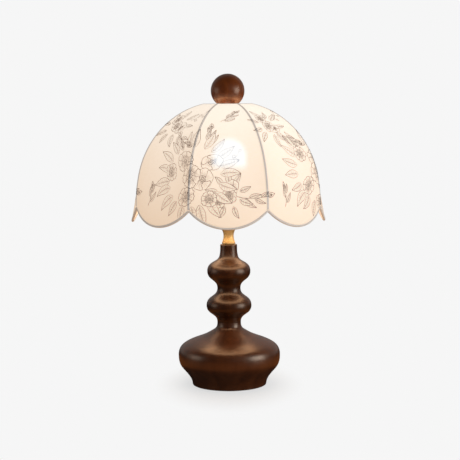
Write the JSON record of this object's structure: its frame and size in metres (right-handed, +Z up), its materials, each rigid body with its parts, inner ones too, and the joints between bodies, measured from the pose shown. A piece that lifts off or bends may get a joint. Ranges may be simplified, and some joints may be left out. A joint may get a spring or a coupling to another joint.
{
  "type": "table lamp",
  "caption": "Table lamp with a turned wooden base and column, a brass neck, and a scalloped cloth dome shade held on a harp by a wooden ball finial.",
  "frame": {"origin": "middle of the felt's underside, on the surface that the lamp stands on", "axes": "+Z up along the turned column; -Y is the front, where a shade panel and the switch key face; +X to the right seen from the front"},
  "size_m": [0.2934, 0.2934, 0.4731],
  "materials": {
    "turned_wood": "satin",
    "brass": "polished",
    "harp_metal": "satin",
    "steel": "satin",
    "frame_wire": "satin",
    "shade_cloth": "matte",
    "binding_tape": "matte",
    "felt": "matte",
    "cover_board": "matte",
    "iron": "matte",
    "moulding": "satin",
    "card": "matte",
    "bushing_plastic": "satin",
    "bulb_metal": "satin",
    "bulb_black": "satin",
    "bulb_body": "satin",
    "bulb_milk": "satin"
  },
  "bodies": {
    "lamp": {"foot_body": "turned_wood", "column": "turned_wood", "seat_ring": "brass", "neck": "brass", "holder_cap": "brass", "holder_shell": "brass", "harp_stud": "brass", "screw_shell": "brass", "centre_contact": "brass", "harp": "harp_metal", "harp_saddle": "harp_metal", "lamp_pipe": "steel", "pipe_nut": "steel", "pipe_washer": "steel", "cover_screws": "steel", "terminal_screws": "steel", "felt_pad": "felt", "bottom_cover": "cover_board", "ballast": "iron", "holder_core": "moulding", "holder_liner": "card", "cord_bushing": "bushing_plastic"},
    "shade": {"spider": "frame_wire", "top_ring": "frame_wire", "ribs": "frame_wire", "hem_wire": "frame_wire", "hem_binding": "binding_tape", "ring_binding": "binding_tape", "panel_1": "shade_cloth", "panel_2": "shade_cloth", "panel_3": "shade_cloth", "panel_4": "shade_cloth", "panel_5": "shade_cloth", "panel_6": "shade_cloth", "panel_7": "shade_cloth", "panel_8": "shade_cloth"},
    "finial": {"finial_ball": "turned_wood", "finial_insert": "brass"},
    "bulb": {"bulb_contact": "bulb_metal", "bulb_insulator": "bulb_black", "bulb_cap": "bulb_metal", "bulb_housing": "bulb_body", "led_board": "bulb_body", "bulb_globe": "bulb_milk"},
    "key": {"switch_shaft": "brass", "switch_key": "brass"},
    "sleeve_left": {"left_sleeve": "harp_metal"},
    "sleeve_right": {"right_sleeve": "harp_metal"}
  },
  "joints": [
    {"name": "shade_turn", "type": "hinge", "parent": "lamp", "child": "shade", "pos_m": [0, 0, 0.4254], "axis": [0, 0, 1], "continuous": true},
    {"name": "finial_turn", "type": "hinge", "parent": "lamp", "child": "finial", "pos_m": [0, 0, 0.4277], "axis": [0, 0, 1], "continuous": true},
    {"name": "bulb_turn", "type": "hinge", "parent": "lamp", "child": "bulb", "pos_m": [0, 0, 0.2747], "axis": [0, 0, 1], "continuous": true},
    {"name": "key_turn", "type": "hinge", "parent": "lamp", "child": "key", "pos_m": [0, -0.025, 0.2654], "axis": [0, -1, 0], "continuous": true},
    {"name": "left_sleeve_lift", "type": "slide", "parent": "lamp", "child": "sleeve_left", "axis": [0, 0, 1], "range_m": [0, 0.013]},
    {"name": "right_sleeve_lift", "type": "slide", "parent": "lamp", "child": "sleeve_right", "axis": [0, 0, 1], "range_m": [0, 0.013]}
  ]
}
